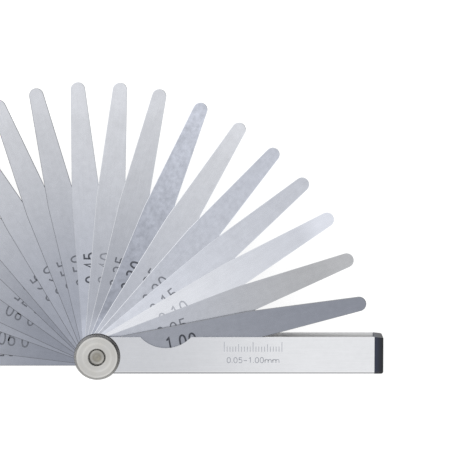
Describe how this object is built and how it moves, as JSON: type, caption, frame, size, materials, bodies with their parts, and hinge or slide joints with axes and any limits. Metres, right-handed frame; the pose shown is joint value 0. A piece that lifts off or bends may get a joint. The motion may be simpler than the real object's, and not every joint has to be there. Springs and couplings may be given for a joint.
{
  "type": "feeler gauge",
  "caption": "Set of tapered steel thickness leaves fanned on one pivot stud, with a folded steel case, a round lock nut and a plastic end plug.",
  "frame": {"origin": "on the pivot axis, at the flat end face of the pivot stud's head, which the gauge rests on", "axes": "+Z along the pivot axis towards the lock nut, +X from the pivot along the case, +Y out of the case's open side"},
  "size_m": [0.1942, 0.1028, 0.0173],
  "materials": {
    "case_steel": "satin, brushed along the case",
    "plug_plastic": "moulded, matt",
    "stud_steel": "turned, dull",
    "nut_steel": "turned face, knurled side",
    "leaf_steel": "ground and hardened, satin"
  },
  "bodies": {
    "case": {"case": "case_steel", "end_plug": "plug_plastic", "pivot_stud": "stud_steel"},
    "lock_nut": {"lock_nut": "nut_steel"},
    "leaf_1_00": {"leaf_1_00": "leaf_steel"},
    "leaf_0_05": {"leaf_0_05": "leaf_steel"},
    "leaf_0_10": {"leaf_0_10": "leaf_steel"},
    "leaf_0_15": {"leaf_0_15": "leaf_steel"},
    "leaf_0_20": {"leaf_0_20": "leaf_steel"},
    "leaf_0_25": {"leaf_0_25": "leaf_steel"},
    "leaf_0_30": {"leaf_0_30": "leaf_steel"},
    "leaf_0_35": {"leaf_0_35": "leaf_steel"},
    "leaf_0_40": {"leaf_0_40": "leaf_steel"},
    "leaf_0_45": {"leaf_0_45": "leaf_steel"},
    "leaf_0_50": {"leaf_0_50": "leaf_steel"},
    "leaf_0_55": {"leaf_0_55": "leaf_steel"},
    "leaf_0_60": {"leaf_0_60": "leaf_steel"},
    "leaf_0_65": {"leaf_0_65": "leaf_steel"},
    "leaf_0_70": {"leaf_0_70": "leaf_steel"},
    "leaf_0_75": {"leaf_0_75": "leaf_steel"},
    "leaf_0_80": {"leaf_0_80": "leaf_steel"},
    "leaf_0_85": {"leaf_0_85": "leaf_steel"},
    "leaf_0_90": {"leaf_0_90": "leaf_steel"},
    "leaf_0_95": {"leaf_0_95": "leaf_steel"}
  },
  "joints": [
    {"name": "lock_nut_turn", "type": "hinge", "parent": "case", "child": "lock_nut", "pos_m": [0, 0, 0], "axis": [0, 0, 1], "continuous": true},
    {"name": "leaf_1_00_swing", "type": "hinge", "parent": "case", "child": "leaf_1_00", "pos_m": [0, 0, 0], "axis": [0, 0, 1], "range_deg": [-11.25, 168.75]},
    {"name": "leaf_0_05_swing", "type": "hinge", "parent": "case", "child": "leaf_0_05", "pos_m": [0, 0, 0], "axis": [0, 0, 1], "range_deg": [-21, 159]},
    {"name": "leaf_0_10_swing", "type": "hinge", "parent": "case", "child": "leaf_0_10", "pos_m": [0, 0, 0], "axis": [0, 0, 1], "range_deg": [-30.75, 149.25]},
    {"name": "leaf_0_15_swing", "type": "hinge", "parent": "case", "child": "leaf_0_15", "pos_m": [0, 0, 0], "axis": [0, 0, 1], "range_deg": [-40, 140]},
    {"name": "leaf_0_20_swing", "type": "hinge", "parent": "case", "child": "leaf_0_20", "pos_m": [0, 0, 0], "axis": [0, 0, 1], "range_deg": [-49, 131]},
    {"name": "leaf_0_25_swing", "type": "hinge", "parent": "case", "child": "leaf_0_25", "pos_m": [0, 0, 0], "axis": [0, 0, 1], "range_deg": [-58, 122]},
    {"name": "leaf_0_30_swing", "type": "hinge", "parent": "case", "child": "leaf_0_30", "pos_m": [0, 0, 0], "axis": [0, 0, 1], "range_deg": [-67.25, 112.75]},
    {"name": "leaf_0_35_swing", "type": "hinge", "parent": "case", "child": "leaf_0_35", "pos_m": [0, 0, 0], "axis": [0, 0, 1], "range_deg": [-76.5, 103.5]},
    {"name": "leaf_0_40_swing", "type": "hinge", "parent": "case", "child": "leaf_0_40", "pos_m": [0, 0, 0], "axis": [0, 0, 1], "range_deg": [-85, 95]},
    {"name": "leaf_0_45_swing", "type": "hinge", "parent": "case", "child": "leaf_0_45", "pos_m": [0, 0, 0], "axis": [0, 0, 1], "range_deg": [-94, 86]},
    {"name": "leaf_0_50_swing", "type": "hinge", "parent": "case", "child": "leaf_0_50", "pos_m": [0, 0, 0], "axis": [0, 0, 1], "range_deg": [-103, 77]},
    {"name": "leaf_0_55_swing", "type": "hinge", "parent": "case", "child": "leaf_0_55", "pos_m": [0, 0, 0], "axis": [0, 0, 1], "range_deg": [-111.5, 68.5]},
    {"name": "leaf_0_60_swing", "type": "hinge", "parent": "case", "child": "leaf_0_60", "pos_m": [0, 0, 0], "axis": [0, 0, 1], "range_deg": [-120.5, 59.5]},
    {"name": "leaf_0_65_swing", "type": "hinge", "parent": "case", "child": "leaf_0_65", "pos_m": [0, 0, 0], "axis": [0, 0, 1], "range_deg": [-130, 50]},
    {"name": "leaf_0_70_swing", "type": "hinge", "parent": "case", "child": "leaf_0_70", "pos_m": [0, 0, 0], "axis": [0, 0, 1], "range_deg": [-136, 44]},
    {"name": "leaf_0_75_swing", "type": "hinge", "parent": "case", "child": "leaf_0_75", "pos_m": [0, 0, 0], "axis": [0, 0, 1], "range_deg": [-144, 36]},
    {"name": "leaf_0_80_swing", "type": "hinge", "parent": "case", "child": "leaf_0_80", "pos_m": [0, 0, 0], "axis": [0, 0, 1], "range_deg": [-155, 25]},
    {"name": "leaf_0_85_swing", "type": "hinge", "parent": "case", "child": "leaf_0_85", "pos_m": [0, 0, 0], "axis": [0, 0, 1], "range_deg": [-160, 20]},
    {"name": "leaf_0_90_swing", "type": "hinge", "parent": "case", "child": "leaf_0_90", "pos_m": [0, 0, 0], "axis": [0, 0, 1], "range_deg": [-173, 7]},
    {"name": "leaf_0_95_swing", "type": "hinge", "parent": "case", "child": "leaf_0_95", "pos_m": [0, 0, 0], "axis": [0, 0, 1], "range_deg": [-180, 0]}
  ]
}
